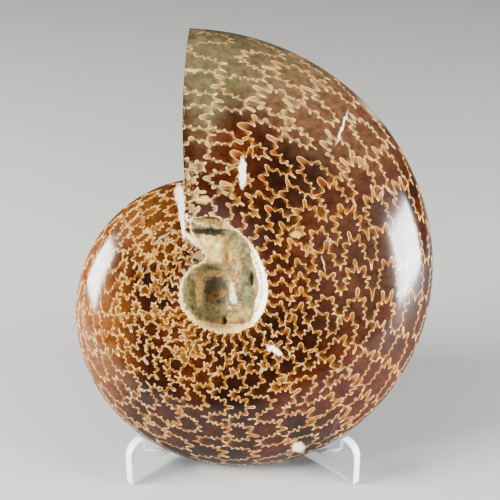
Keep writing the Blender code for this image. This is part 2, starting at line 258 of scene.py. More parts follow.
def suture_outline(rng):
    """One suture: across (0 at the umbilicus, 1 at the outer edge) and forward, in that scale.

    The line is steered as it goes: it swings for each saddle and lobe, and within that for each
    finger.
    """
    widths = np.array(ELEMENT_WIDTHS) * rng.uniform(0.94, 1.06, len(ELEMENT_WIDTHS))
    widths /= widths.sum()
    pieces = []
    x = y = 0.0
    for i, width in enumerate(widths):
        saddle = i % 2 == 0
        swing = ELEMENT_SWING[i] * rng.uniform(0.96, 1.04)
        finger = FINGER_SWING[i] * rng.uniform(0.9, 1.1)
        fingers = FINGERS[i] + (2 if i > 9 and rng.uniform() < 0.2 else 0)
        phase = (np.arange(400) + 0.5) / 400
        heading = (1.0 if saddle else -1.0) * swing * np.cos(math.pi * phase)
        heading += rng.uniform(-0.14, 0.14) * np.sin(math.pi * phase)
        heading += rng.uniform(-0.12, 0.12) * np.sin(2 * math.pi * phase)
        crowding = 0.04 * np.sin(2 * math.pi * phase)      # closer down a leaf's sides
        waves = fingers * (phase + crowding) + rng.uniform(-0.12, 0.12) * np.sin(2 * math.pi * phase)
        waves += KEENNESS * np.sin(2 * math.pi * waves) / (2 * math.pi)
        uneven = 1.0 - 0.15 * np.sin(math.pi * phase)
        uneven += 0.06 * np.sin(2 * math.pi * (waves * 0.41 + rng.uniform()))
        swings = np.tanh(SQUARENESS * np.sin(2 * math.pi * waves)) / math.tanh(SQUARENESS)
        heading += finger * uneven * swings
        heading += min(0.25, 3.5 * width) * np.sin(2 * math.pi * (2.37 * waves + rng.uniform()))
        while np.cos(heading).mean() < LEAST_ADVANCE:
            heading *= 0.96
        scale = width / np.cos(heading).sum()
        xs = x + np.cumsum(np.cos(heading)) * scale
        ys = y + np.cumsum(np.sin(heading)) * scale
        x, y = xs[-1], ys[-1]
        pieces.append(np.stack((xs, ys), -1))
    line = np.concatenate(pieces)
    line[:, 1] -= np.interp(line[:, 0], (0.0, 1.0), (0.0, line[-1, 1]))
    return line


def thin_out(line, tolerance, longest):
    """Indexes of the points that keep a line's shape."""
    keep = np.zeros(len(line), bool)
    keep[0] = keep[-1] = True
    spans = [(0, len(line) - 1)]
    while spans:
        a, b = spans.pop()
        if b - a < 2:
            continue
        chord = line[b] - line[a]
        length = math.hypot(*chord)
        rel = line[a + 1:b] - line[a]
        if length > 1e-9:
            off = np.abs(rel[:, 0] * chord[1] - rel[:, 1] * chord[0]) / length
        else:
            off = np.linalg.norm(rel, axis=1)
        worst = int(off.argmax())
        if off[worst] > tolerance or length > longest:
            middle = a + 1 + (worst if off[worst] > tolerance else (b - a) // 2 - 1)
            keep[middle] = True
            spans += [(a, middle), (middle, b)]
    return np.flatnonzero(keep)


def suture_lines():
    """The sutures, as turn and share of the flank along each."""
    rng = np.random.default_rng(41)
    lines = []
    shares = np.linspace(1.0, 0.0, 400)
    for k in range(-1, SUTURES + 2):
        base = (k + 0.35 + rng.uniform(-0.05, 0.05)) / SUTURES
        outline = suture_outline(rng)
        clipped = min(max(base, 0.0), 0.99)
        section = flatten(np.full(400, clipped), shares)
        along = np.concatenate(((0.0,), np.cumsum(np.linalg.norm(np.diff(section, axis=0), axis=1))))
        per_turn = np.linalg.norm(flatten(np.full(400, clipped + 0.01), shares) - section, axis=1) / 0.01
        # each leaf is as tall as the room to the next suture lets it be
        grid = np.linspace(0.0, 1.0, 41)
        heights = [np.ptp(outline[np.abs(outline[:, 0] - g) < 0.09, 1]) for g in grid]
        room = np.interp(grid * along[-1], along, per_turn) / SUTURES / along[-1]
        stretch = np.minimum(STRETCH, (FILL + 0.4 * grid**2) * room / np.array(heights))
        stretch = np.convolve(np.pad(stretch, 3, mode="edge"), np.ones(7) / 7, mode="valid")
        share = np.interp(outline[:, 0] * along[-1], along, shares)
        forward = outline[:, 1] * np.interp(outline[:, 0], grid, stretch) * along[-1]
        lean = 0.011 * np.sin(math.pi * outline[:, 0])
        turn = base + lean + forward / np.interp(outline[:, 0] * along[-1], along, per_turn)
        lines.append(np.stack((turn, share), -1))
    return lines


# One face of the shell

def sample_boundary(turns, shares, spacing):
    """Points of a line of the flank at even steps, given finely."""
    flat = flatten(turns, shares)
    along = np.concatenate(((0.0,), np.cumsum(np.linalg.norm(np.diff(flat, axis=0), axis=1))))
    count = max(2, int(round(along[-1] / spacing)) + 1)
    want = np.linspace(0.0, along[-1], count)
    return np.interp(want, along, turns), np.interp(want, along, shares)


def inside_polygon(points, polygon):
    """Which points lie inside a closed polygon."""
    inside = np.zeros(len(points), bool)
    x, y = points[:, 0], points[:, 1]
    for (x1, y1), (x2, y2) in zip(polygon, np.roll(polygon, -1, axis=0)):
        crosses = (y1 > y) != (y2 > y)
        with np.errstate(divide="ignore", invalid="ignore"):
            at = (x2 - x1) * (y - y1) / (y2 - y1) + x1
        inside ^= crosses & (x < at)
    return inside


def boundary_points():
    """The rim of a face: outer edge, cut, and the section one turn earlier."""
    fine = np.linspace(0.0, 1.0, 3000)
    edge = sample_boundary(fine, np.zeros(3000), RIM_SPACING)
    cut = sample_boundary(np.ones(3000), fine**2, CUT_SPACING)
    first_upper = sample_boundary(np.zeros(3000), FOOT_SHARE * fine[::-1]**2, JOIN_SPACING)
    first_lower = sample_boundary(np.zeros(2000), np.linspace(FOOT_SHARE, 1.0, 2000), JOIN_SPACING)
    return edge, cut, first_upper, first_lower


def tree_of(points):
    tree = kdtree.KDTree(len(points))
    for i, p in enumerate(points):
        tree.insert((p[0], p[1], 0.0), i)
    tree.balance()
    return tree


def nearest(tree, points):
    found = [tree.find((p[0], p[1], 0.0)) for p in points]
    return np.array([f[1] for f in found]), np.array([f[2] for f in found])


def dense(line, step):
    """Points along a line at most a step apart, with the direction there."""
    pieces, ways = [], []
    for a, b in zip(line[:-1], line[1:]):
        length = np.linalg.norm(b - a)
        if length < 1e-9:
            continue
        count = max(1, int(math.ceil(length / step)))
        shares = (np.arange(count) + 0.5) / count
        pieces.append(a + (b - a) * shares[:, None])
        ways.append(np.repeat(((b - a) / length)[None], count, axis=0))
    return np.concatenate(pieces), np.concatenate(ways)


def face_mesh(spacing, lines):
    """Flat points and triangles of one face, with the rim, the shoulder and the sutures as edges."""
    points, edges = [], []

    def add_line(flat, closed=False):
        start = len(points)
        points.extend(flat)
        edges.extend((start + i, start + i + 1) for i in range(len(flat) - 1))
        if closed:
            edges.append((start + len(flat) - 1, start))

    edge, cut, first_upper, first_lower = boundary_points()
    fixed_turn = np.concatenate((edge[0], cut[0], first_upper[0], first_lower[0]))
    fixed_share = np.concatenate((edge[1], cut[1], first_upper[1], first_lower[1]))
    rim = np.concatenate((flatten(*edge), flatten(*cut)[1:], flatten(*first_upper)[:-1]))
    add_line(rim, closed=True)
    fine = np.linspace(0.0, 1.0, 3000)
    side = sample_boundary(fine, np.ones(3000), SHOULDER_SPACING)
    side_flat = flatten(*side)
    shoulder_loop = np.concatenate((flatten(*first_lower), side_flat[1:]))
    add_line(shoulder_loop)
    for line in lines:
        # sutures stop just short of the rim
        inside = (line[:, 0] > 0.004) & (line[:, 0] < 0.996) & (line[:, 1] > 0.0004)
        for run in np.split(np.arange(len(line)), np.flatnonzero(np.diff(inside.astype(int))) + 1):
            if not inside[run[0]] or len(run) < 20:
                continue
            flat = flatten(line[run, 0], line[run, 1])
            add_line(flat[thin_out(flat, SUTURE_TOLERANCE * spacing, SUTURE_STEP * spacing)])
    fixed = np.array(points)
    fixed_tree = tree_of(fixed)

    # an even lattice inside the rim
    low, high = rim.min(0), rim.max(0)
    rows = np.arange(low[1], high[1], spacing * math.sqrt(3) / 2)
    row = np.arange(low[0], high[0], spacing)
    lattice = np.concatenate([np.stack((row + (i % 2) * spacing / 2, np.full(len(row), y)), -1)
                              for i, y in enumerate(rows)])
    rng = np.random.default_rng(7)
    lattice += rng.uniform(-LATTICE_SHAKE, LATTICE_SHAKE, lattice.shape) * spacing
    lattice = lattice[inside_polygon(lattice, rim)]
    _, away = nearest(fixed_tree, lattice)
    lattice = lattice[away > LATTICE_CLEARANCE * spacing]
    flat = np.concatenate((fixed, lattice))
    result = delaunay_2d_cdt([Vector(p) for p in flat], edges, [], 1, 1e-7, True)
    out = np.array([tuple(p) for p in result[0]])
    faces = np.array(result[2])
    faces = faces[inside_polygon(out[faces].mean(1), rim)]
    turn, share = place_on_flank(out)
    at, _ = nearest(tree_of(out), flatten(fixed_turn, fixed_share))
    turn[at], share[at] = fixed_turn, fixed_share
    return out, faces, shoulder_loop, turn, share


def umbilicus_height(plan, cad_tree):
    """Height of the filling and the inner whorl, read down on to the solid."""
    cos, sin = math.cos(LEAN), math.sin(LEAN)
    toward = Vector((0.0, -cos, sin))
    starts = in_world(plan, np.full(len(plan), RAY_HEIGHT))
    heights = np.empty(len(plan))
    for i, start in enumerate(starts):
        hit = cad_tree.ray_cast(Vector(start), -toward)
        heights[i] = RAY_HEIGHT - hit[3] / MM
    return heights


def aperture_mesh():
    """The sawn face: plan, height and triangles, between the two faces' edges."""
    _, cut, first_upper, _ = boundary_points()
    last_height = half_thickness(1.0) * flank_profile(cut[1])
    first_height = half_thickness(0.0) * flank_profile(first_upper[1])
    front = np.concatenate((
        np.stack((flank_plan(*cut)[:, 1], last_height), -1),
        np.stack((flank_plan(*first_upper)[:, 1], first_height), -1)))
    back = front[1:-1][::-1] * (1.0, -1.0)
    rim = np.concatenate((front, back))
    edges = [(i, (i + 1) % len(rim)) for i in range(len(rim))]
    low, high = rim.min(0), rim.max(0)
    steps = [np.arange(low[axis], high[axis], APERTURE_SPACING) for axis in (0, 1)]
    grid = np.stack(np.meshgrid(*steps), -1).reshape(-1, 2)
    odd_row = np.round(grid[:, 0] / APERTURE_SPACING).astype(int) % 2
    grid[:, 1] += odd_row * APERTURE_SPACING / 2
    grid = grid[inside_polygon(grid, rim)]
    _, away = nearest(tree_of(rim), grid)
    result = delaunay_2d_cdt([Vector(p) for p in np.concatenate((rim, grid[away > 0.5]))], edges, [],
                             1, 1e-7, True)
    flat = np.array([tuple(p) for p in result[0]])
    plan = np.stack((cut_side(flat[:, 0]), flat[:, 0]), -1)
    _, inward = nearest(tree_of(dense(np.vstack((rim, rim[:1])), 0.1)[0]), flat)
    faces = np.array(result[2])
    return plan, flat[:, 1], faces[inside_polygon(flat[faces].mean(1), rim)], inward


def filling_relief(plan, inward):
    """Grain and hollows of the umbilicus, in height: none at its edge."""
    u, v = plan[:, 0], plan[:, 1]
    rough = np.array([noise.fractal(Vector((x * FILLING_SCALE, y * FILLING_SCALE, 4.0)), 0.8, 2.1, 5)
                      for x, y in plan]) * FILLING_GRAIN
    for place, size, depth in UMBILICUS_HOLLOWS:
        away = ((u - place[0]) / size[0])**2 + ((v - place[1]) / size[1])**2
        rough -= depth * np.exp(-away**2)
    return rough * np.clip((inward - 0.4) / 1.1, 0.0, 1.0)


def umbilicus_reach(flat, loop, front):
    """Which points lie in the umbilicus, and how far in from its edge: less than 0 on the shell."""
    middle = inside_polygon(flat, loop)
    edge = dense(np.vstack((loop, loop[:1])), EDGE_STEP)[0]
    _, inward = nearest(tree_of(edge), flat)
    middle &= inward > 0.03
    if front:
        # polished shell reaches in, so there the edge is its own
        straight = ((edge[:, 0] > POLISHED_FROM[0]) & (edge[:, 1] > POLISHED_FROM[1])
                    & (edge[:, 0] < POLISHED_TO[0]) & (edge[:, 1] < POLISHED_TO[1]))
        edge = np.concatenate((edge[~straight], dense(POLISHED_EDGE, EDGE_STEP)[0]))
        _, inward = nearest(tree_of(edge), flat)
        inward[inside_polygon(flat, POLISHED_EDGE)] *= -1.0
    return middle, np.where(middle, inward, -np.abs(inward))


def bake_place(flat, start):
    """Where a face lies in the picture that its colours are baked to: each takes half its width."""
    share = (flat - BAKE_LOW) / (BAKE_HIGH - BAKE_LOW)
    return np.clip(share, 0.004, 0.996) * (0.5, 1.0) + (start, 0.0)


def side_fields(flat_lines, flat):
    """Signed distance to the nearest suture, and how the two sides mix around each point."""
    samples, ways, indexes = [], [], []
    for k, line in enumerate(flat_lines):
        points, directions = dense(line, SUTURE_SAMPLE)
        samples.append(points)
        ways.append(directions)
        indexes.append(np.full(len(points), k))
    samples, ways, indexes = np.concatenate(samples), np.concatenate(ways), np.concatenate(indexes)
    tree = tree_of(samples)

    def side_of(points):
        near, away = nearest(tree, points)
        off = points - samples[near]
        left = ways[near][:, 0] * off[:, 1] - ways[near][:, 1] * off[:, 0]
        odd = (indexes[near] + (left > 0)) % 2
        return away, np.where(odd == 1, 1.0, -1.0)

    away, side = side_of(flat)
    # the mixture is read from an even grid, blurred
    cell, margin = 0.3, 3.0
    low = flat.min(0) - margin
    size = np.ceil((flat.max(0) + margin - low) / cell).astype(int)
    xs, ys = np.meshgrid(np.arange(size[0]), np.arange(size[1]), indexing="ij")
    places = np.stack((xs, ys), -1).reshape(-1, 2) * cell + low
    _, grid_side = side_of(places)
    far = np.fft.fft2(grid_side.reshape(size))
    fx, fy = np.fft.fftfreq(size[0], cell)[:, None], np.fft.fftfreq(size[1], cell)[None]
    blurred = np.real(np.fft.ifft2(far * np.exp(-2.0 * (math.pi * BLUR)**2 * (fx**2 + fy**2))))
    at = (flat - low) / cell
    i, f = np.floor(at).astype(int), at - np.floor(at)
    mixed = (blurred[i[:, 0], i[:, 1]] * (1 - f[:, 0]) * (1 - f[:, 1])
             + blurred[i[:, 0] + 1, i[:, 1]] * f[:, 0] * (1 - f[:, 1])
             + blurred[i[:, 0], i[:, 1] + 1] * (1 - f[:, 0]) * f[:, 1]
             + blurred[i[:, 0] + 1, i[:, 1] + 1] * f[:, 0] * f[:, 1])
    return away * side, mixed


def build_ammonite():
    """The fossil: both faces and the sawn aperture as one closed mesh, with fields for its colours."""
    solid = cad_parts["ammonite"].data
    cad_tree = BVHTree.FromPolygons([v.co for v in solid.vertices], [p.vertices for p in solid.polygons])
    lines = suture_lines()
    flat_lines = [flatten(np.clip(l[:, 0], -0.02, 1.02), l[:, 1]) for l in lines]
    places, triangles, slots = [], [], []
    fields = {name: [] for name in ("suture", "shelter", "plan_u", "plan_v", "inward")}
    layout = []
    count = 0

    def add_fields(suture, shelter, plan, inward):
        for values, new in zip(fields.values(), (suture, shelter, plan[:, 0], plan[:, 1], inward)):
            values.append(new)

    for front, spacing in ((True, FRONT_SPACING), (False, BACK_SPACING)):
        flat, faces, loop, turn, share = face_mesh(spacing, lines)
        middle, inward = umbilicus_reach(flat, loop, front)
        plan = flank_plan(turn, share)
        height = half_thickness(turn) * flank_profile(share)
        plan[middle] = flat[middle]
        height[middle] = (umbilicus_height(plan[middle], cad_tree)
                          + filling_relief(plan[middle], inward[middle]))
        places.append(in_world(plan, height if front else -height))
        suture, shelter = side_fields(flat_lines, flat)
        add_fields(suture, shelter, plan, inward)
        layout.append(bake_place(flat, 0.0 if front else 0.5))
        triangles.append(faces[:, (0, 1, 2) if front else (0, 2, 1)] + count)
        filling = inside_polygon(flat[faces].mean(1), loop)
        if front:
            filling &= ~inside_polygon(flat[faces].mean(1), POLISHED_EDGE)
        slots.append(np.where(filling, FILLING, SHELL))
        count += len(flat)
    plan, height, faces, inward = aperture_mesh()
    places.append(in_world(plan, height))
    triangles.append(faces[:, (0, 2, 1)] + count)
    slots.append(np.full(len(faces), SAWN))
    add_fields(np.full(len(plan), 5.0), np.zeros(len(plan)), plan, inward)
    layout.append(bake_place(np.stack((height, plan[:, 1] - CUT_FOOT), -1) * APERTURE_SCALE
                             + APERTURE_CORNER, 0.0))

    mesh = bpy.data.meshes.new("ammonite_shell")
    mesh.from_pydata([tuple(c) for c in np.concatenate(places)], [],
                     [tuple(t) for t in np.concatenate(triangles)])
    mesh.polygons.foreach_set("material_index", np.concatenate(slots).astype(np.int32))
    for name, values in fields.items():
        field = mesh.attributes.new(name, "FLOAT", "POINT")
        field.data.foreach_set("value", np.concatenate(values).astype(np.float32))
    uv = mesh.uv_layers.new(name="OFBake")
    corners = np.empty(len(mesh.loops), np.int32)
    mesh.loops.foreach_get("vertex_index", corners)
    uv.data.foreach_set("uv", np.concatenate(layout)[corners].astype(np.float32).ravel())
    bm = bmesh.new()
    bm.from_mesh(mesh)
    bmesh.ops.remove_doubles(bm, verts=bm.verts, dist=MERGE)
    bm.to_mesh(mesh)
    bm.free()
    shell = bpy.data.objects.new("ammonite_shell", mesh)
    bpy.context.scene.collection.objects.link(shell)
    mesh.shade_smooth()
    mesh.set_sharp_from_angle(angle=SHARP)
    return shell


# Materials

def new_material(name):
    material = bpy.data.materials.new(name)
    material.use_nodes = True
    return material, material.node_tree, material.node_tree.nodes["Principled BSDF"]


def node(tree, kind, **values):
    made = tree.nodes.new(kind)
    for name, value in values.items():
        setattr(made, name, value)
    return made


def set_inputs(made, **values):
    """Plain values for a node's sockets, named with _ for a space."""
    for name, value in values.items():
        made.inputs[name.replace("_", " ")].default_value = value


def ramp(tree, value, *stops):
    """A colour that follows a value, from places and colours."""
    made = node(tree, "ShaderNodeValToRGB")
    elements = made.color_ramp.elements
    while len(elements) > 1:
        elements.remove(elements[-1])
    elements[0].position = stops[0][0]
    elements[0].color = stops[0][1] + (1.0,)
    for place, colour in stops[1:]:
        elements.new(place).color = colour + (1.0,)
    tree.links.new(value, made.inputs["Fac"])
    return made.outputs["Color"]


def math_node(tree, operation, a, b=None, c=None, clamp=False):
    made = node(tree, "ShaderNodeMath", operation=operation, use_clamp=clamp)
    for i, value in enumerate((a, b, c)):
        if value is None:
            continue
        if isinstance(value, (int, float)):
            made.inputs[i].default_value = value
        else:
            tree.links.new(value, made.inputs[i])
    return made.outputs[0]


def attribute(tree, name):
    return node(tree, "ShaderNodeAttribute", attribute_name=name).outputs["Fac"]


def between(tree, value, low, high):
    """0 below low and 1 above high, smoothly."""
    made = node(tree, "ShaderNodeMapRange", interpolation_type="SMOOTHSTEP")
    tree.links.new(value, made.inputs["Value"])
    set_inputs(made, From_Min=low, From_Max=high)
    return made.outputs["Result"]


def mix(tree, factor, a, b, blend_type="MIX"):
    """Two colours mixed; each of them, and the factor, is a socket or a plain value."""
    made = node(tree, "ShaderNodeMix", data_type="RGBA", blend_type=blend_type)
    for socket, value in ((made.inputs[0], factor), (made.inputs[6], a), (made.inputs[7], b)):
        if isinstance(value, float):
            socket.default_value = value
        elif isinstance(value, tuple):
            socket.default_value = value + (1.0,)
        else:
            tree.links.new(value, socket)
    return made.outputs[2]


def noise_texture(tree, scale, detail=2.0, roughness=0.5, distortion=0.0):
    made = node(tree, "ShaderNodeTexNoise")
    set_inputs(made, Scale=scale, Detail=detail, Roughness=roughness, Distortion=distortion)
    coordinates = node(tree, "ShaderNodeTexCoord").outputs["Object"]
    tree.links.new(coordinates, made.inputs["Vector"])
    return made


def noise_value(tree, *settings):
    return noise_texture(tree, *settings).outputs["Fac"]


def plan_place(tree):
    """The surface's place in the coil's plane, in mm."""
    joined = node(tree, "ShaderNodeCombineXYZ")
    tree.links.new(attribute(tree, "plan_u"), joined.inputs["X"])
    tree.links.new(attribute(tree, "plan_v"), joined.inputs["Y"])
    return joined.outputs["Vector"]


def shaken_place(tree, waver, scale):
    """That place, shaken by a fine noise, so that edges drawn on it are ragged."""
    offset = node(tree, "ShaderNodeVectorMath", operation="SUBTRACT")
    tree.links.new(plan_place(tree), offset.inputs[0])
    offset.inputs[1].default_value = (waver, waver, 0.0)
    shake = node(tree, "ShaderNodeVectorMath", operation="MULTIPLY_ADD")
    tree.links.new(noise_texture(tree, scale, 3.0).outputs["Color"], shake.inputs[0])
    shake.inputs[1].default_value = (2.0 * waver, 2.0 * waver, 0.0)
    tree.links.new(offset.outputs["Vector"], shake.inputs[2])
    return shake.outputs["Vector"]


def new_group(name, inputs, outputs):
    """A node group with its sockets: the group, its inner inputs and its inner outputs."""
    group = bpy.data.node_groups.new(name, "ShaderNodeTree")
    for label, kind in inputs:
        group.interface.new_socket(label, in_out="INPUT", socket_type="NodeSocket" + kind)
    for label, kind in outputs:
        group.interface.new_socket(label, in_out="OUTPUT", socket_type="NodeSocket" + kind)
    return group, node(group, "NodeGroupInput").outputs, node(group, "NodeGroupOutput").inputs


def patch_group():
    """Mask of a soft-edged ellipse."""
    group, given, result = new_group(
        "soft_patch",
        (("Place", "Vector"), ("Centre", "Vector"), ("Turn", "Vector"), ("Half Widths", "Vector"),
         ("Inner Edge", "Float"), ("Outer Edge", "Float")),
        (("Mask", "Float"),))
    local = node(group, "ShaderNodeMapping", vector_type="TEXTURE")
    for source, target in (("Place", "Vector"), ("Centre", "Location"), ("Turn", "Rotation"),
                           ("Half Widths", "Scale")):
        group.links.new(given[source], local.inputs[target])
    reach = node(group, "ShaderNodeVectorMath", operation="LENGTH")
    group.links.new(local.outputs["Vector"], reach.inputs[0])
    edge = node(group, "ShaderNodeMapRange", interpolation_type="SMOOTHSTEP")
    group.links.new(reach.outputs["Value"], edge.inputs["Value"])
    group.links.new(given["Inner Edge"], edge.inputs["From Min"])
    group.links.new(given["Outer Edge"], edge.inputs["From Max"])
    group.links.new(math_node(group, "SUBTRACT", 1.0, edge.outputs["Result"]), result["Mask"])
    return group


def grain_group():
    """A grain and the bumps that it makes."""
    group, given, result = new_group(
        "surface_grain",
        (("Scale", "Float"), ("Detail", "Float"), ("Roughness", "Float"), ("Strength", "Float"),
         ("Distance", "Float")),
        (("Grain", "Float"), ("Normal", "Vector")))
    grain = noise_texture(group, 1.0)
    for label in ("Scale", "Detail", "Roughness"):
        group.links.new(given[label], grain.inputs[label])
    bump = node(group, "ShaderNodeBump")
    group.links.new(given["Strength"], bump.inputs["Strength"])
    group.links.new(given["Distance"], bump.inputs["Distance"])
    group.links.new(grain.outputs["Fac"], bump.inputs["Height"])
    group.links.new(grain.outputs["Fac"], result["Grain"])
    group.links.new(bump.outputs["Normal"], result["Normal"])
    return group


SOFT_PATCH = patch_group()
SURFACE_GRAIN = grain_group()


def patch(tree, plan, centre, half, turn, edge):
    """Mask of an ellipse in the coil's plane: centre and half widths in mm, turn in degrees."""
    made = node(tree, "ShaderNodeGroup", node_tree=SOFT_PATCH)
    tree.links.new(plan, made.inputs["Place"])
    set_inputs(made, Centre=centre + (0.0,), Turn=(0.0, 0.0, math.radians(turn)),
               Half_Widths=half + (1.0,), Inner_Edge=1.0 - edge, Outer_Edge=1.0 + edge)
    return made.outputs["Mask"]


def rough_grain(tree, shader, scale, detail, roughness, strength, distance):
    """Grain that bumps the surface; its value is given back for the colours."""
    made = node(tree, "ShaderNodeGroup", node_tree=SURFACE_GRAIN)
    set_inputs(made, Scale=scale, Detail=detail, Roughness=roughness, Strength=strength, Distance=distance)
    tree.links.new(made.outputs["Normal"], shader.inputs["Normal"])
    return made.outputs["Grain"]


def vary_roughness(tree, shader, value, low, high, least, most):
    """Roughness from least to most as the value goes from low to high."""
    made = node(tree, "ShaderNodeMapRange")
    tree.links.new(value, made.inputs["Value"])
    set_inputs(made, From_Min=low, From_Max=high, To_Min=least, To_Max=most)
    tree.links.new(made.outputs["Result"], shader.inputs["Roughness"])


def paint(tree, colour, plan, patches):
    """Lay soft-edged patches of colour over a colour."""
    for centre, half, turn, edge, strength, tint in patches:
        mask = patch(tree, plan, centre, half, turn, edge)
        colour = mix(tree, math_node(tree, "MULTIPLY", mask, strength), colour, tint)
    return colour


# Broad tints of the polished shell: centre, half widths, turn, softness, strength, colour
SHELL_TINTS = (
    ((10.0, 80.0), (32.0, 16.0), -8.0, 0.6, 0.85, (0.115, 0.092, 0.042)),
    ((-4.0, 68.0), (6.0, 18.0), 4.0, 0.6, 0.6, (0.115, 0.092, 0.042)),
    ((34.0, 60.0), (24.0, 12.0), -35.0, 0.7, 0.7, (0.110, 0.050, 0.024)),
    ((-44.0, -4.0), (13.0, 34.0), 8.0, 0.6, 0.7, (0.17, 0.054, 0.009)),
    ((-25.0, 27.0), (12.0, 13.0), 0.0, 0.6, 0.6, (0.115, 0.036, 0.006)),
    ((52.0, -33.0), (16.0, 24.0), 35.0, 0.6, 0.5, (0.060, 0.012, 0.002)),
    ((4.0, 48.0), (11.0, 9.0), 0.0, 0.7, 0.6, (0.050, 0.010, 0.003)),
    ((44.0, 14.0), (15.0, 24.0), 10.0, 0.7, 0.5, (0.060, 0.026, 0.014)),
)
# Marks on it, as photographed; the last also paints light over a spot of shade at the cut's foot
SHELL_MARKS_AND_LIGHT = (
    ((8.45, 41.2), (1.15, 4.7), 0.0, 0.25, 1.0, (0.80, 0.72, 0.58)),
    ((18.7, -16.2), (2.9, 1.0), -31.0, 0.3, 1.0, (0.84, 0.80, 0.70)),
    ((27.0, -50.3), (1.9, 2.2), 20.0, 0.3, 1.0, (0.76, 0.62, 0.40)),
    ((40.3, 55.6), (4.9, 0.38), 69.0, 0.4, 0.9, (0.80, 0.74, 0.62)),
    ((50.6, 61.0), (5.2, 1.3), -43.7, 0.6, 0.55, (0.26, 0.25, 0.14)),
    ((34.1, 12.0), (2.6, 0.28), -78.0, 0.4, 0.8, (0.55, 0.30, 0.20)),
    ((-17.9, 19.7), (2.9, 0.4), 40.6, 0.4, 0.6, (0.30, 0.32, 0.18)),
    ((-12.4, 33.6), (1.5, 3.0), 8.0, 0.35, 1.0, (0.76, 0.68, 0.55)),
    ((-11.6, 29.0), (0.9, 4.5), 4.0, 0.35, 1.0, (0.78, 0.70, 0.56)),
    ((-11.2, 24.0), (0.7, 4.5), 4.0, 0.35, 1.0, (0.80, 0.72, 0.58)),
    ((-8.9, 19.8), (2.8, 0.8), -42.0, 0.35, 1.0, (0.76, 0.66, 0.48)),
    ((-5.6, 17.0), (2.4, 0.7), -36.0, 0.4, 0.8, (0.62, 0.48, 0.32)),
    ((-4.2, 32.6), (1.7, 1.2), 0.0, 0.5, 0.8, (0.55, 0.36, 0.10)),
    ((25.1, 21.7), (1.7, 1.0), 0.0, 0.5, 0.7, (0.55, 0.34, 0.10)),
    ((-7.6, 73.8), (1.9, 0.35), -8.0, 0.5, 0.6, (0.50, 0.42, 0.28)),
    # partly painted light: the cream of the pale band along the cut, laid over a small pit at its foot so
    # that the pit's shade does not show
    ((-9.2, 26.4), (1.2, 1.3), 0.0, 0.4, 1.0, (0.78, 0.64, 0.42)),
)
BODY = ((0.30, (0.006, 0.002, 0.0008)), (0.45, (0.015, 0.004, 0.0012)),
        (0.58, (0.032, 0.0060, 0.0012)), (0.72, (0.056, 0.012, 0.0020)))
MOTTLE = ((0.35, (0.55, 0.5, 0.48)), (0.6, (1.0, 1.0, 1.0)), (0.75, (1.35, 1.3, 1.2)))
GLOW_RED = (0.17, 0.042, 0.002)
GLOW_AMBER = (0.28, 0.100, 0.006)
GLOW_CHALK = (0.36, 0.27, 0.12)
CHALKY = (((-4.0, 50.0), (8.0, 30.0), 3.0, 0.5), ((24.0, 64.0), (32.0, 12.0), -32.0, 0.6))
GLOW_REACH = (0.05, 1.5)       # mm from a suture, over which the glow dies away
SUTURE_WIDTH = (0.02, 0.18)    # mm from its middle, over which the line fades
SUTURE_STEM = (0.27, 0.12, 0.022)
SUTURE_TIP = (0.92, 0.74, 0.34)
FRECKLED = ((-5.6, 14.6), (2.4, 3.6), -24.0, 0.3)
FRECKLES = (0.24, 0.150, 0.055)
FRAYED = (0.74, 0.55, 0.28)
FRAYED_REACH = -1.4            # mm out from the umbilicus's edge, at most


